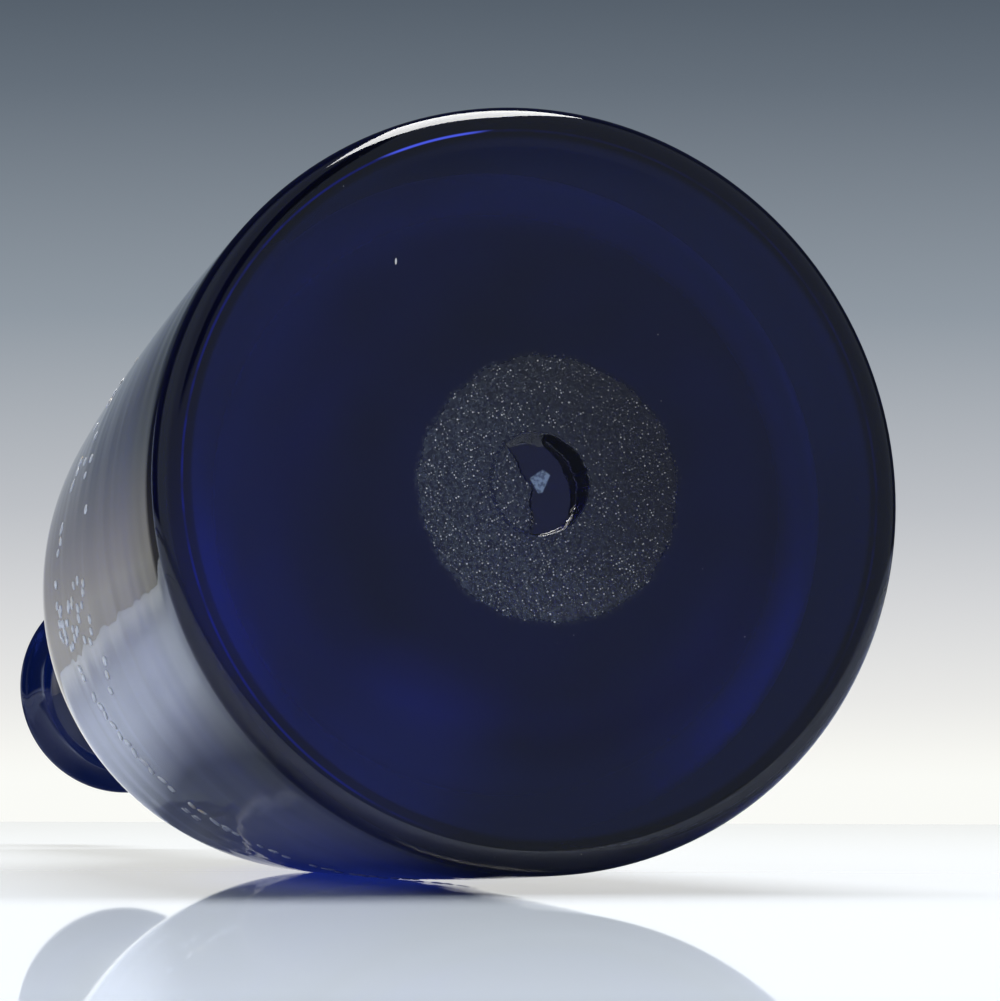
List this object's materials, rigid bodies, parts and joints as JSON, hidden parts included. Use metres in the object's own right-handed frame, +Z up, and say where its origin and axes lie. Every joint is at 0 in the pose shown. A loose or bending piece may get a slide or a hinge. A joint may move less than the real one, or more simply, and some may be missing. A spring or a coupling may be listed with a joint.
{
  "type": "taper decanter",
  "caption": "Blown taper decanter with a gently tapering body, slender neck, everted lip and kicked base, with a ground-in lozenge stopper that lifts out.",
  "frame": {"origin": "centre of the ring that the decanter stands on, at table level", "axes": "+Z up along the decanter's axis, towards the stopper; +X across the stopper's broad face, which looks along -Y"},
  "size_m": [0.0798, 0.08, 0.2587],
  "materials": {
    "cobalt_glass": "clear deep cobalt blue, fire-polished, with a ground pontil mark and a worn resting ring",
    "stopper_glass": "clear deep cobalt blue, bevelled and polished, with a fine-ground grey peg",
    "enamel_beads": "fired cream enamel in small raised strokes, with traces of worn gilding"
  },
  "bodies": {
    "decanter": {"decanter_body": "cobalt_glass"},
    "stopper": {"stopper": "stopper_glass"}
  },
  "joints": [
    {"name": "stopper_lift", "type": "slide", "parent": "decanter", "child": "stopper", "axis": [0, 0, 1], "range_m": [0, 0.032]}
  ]
}
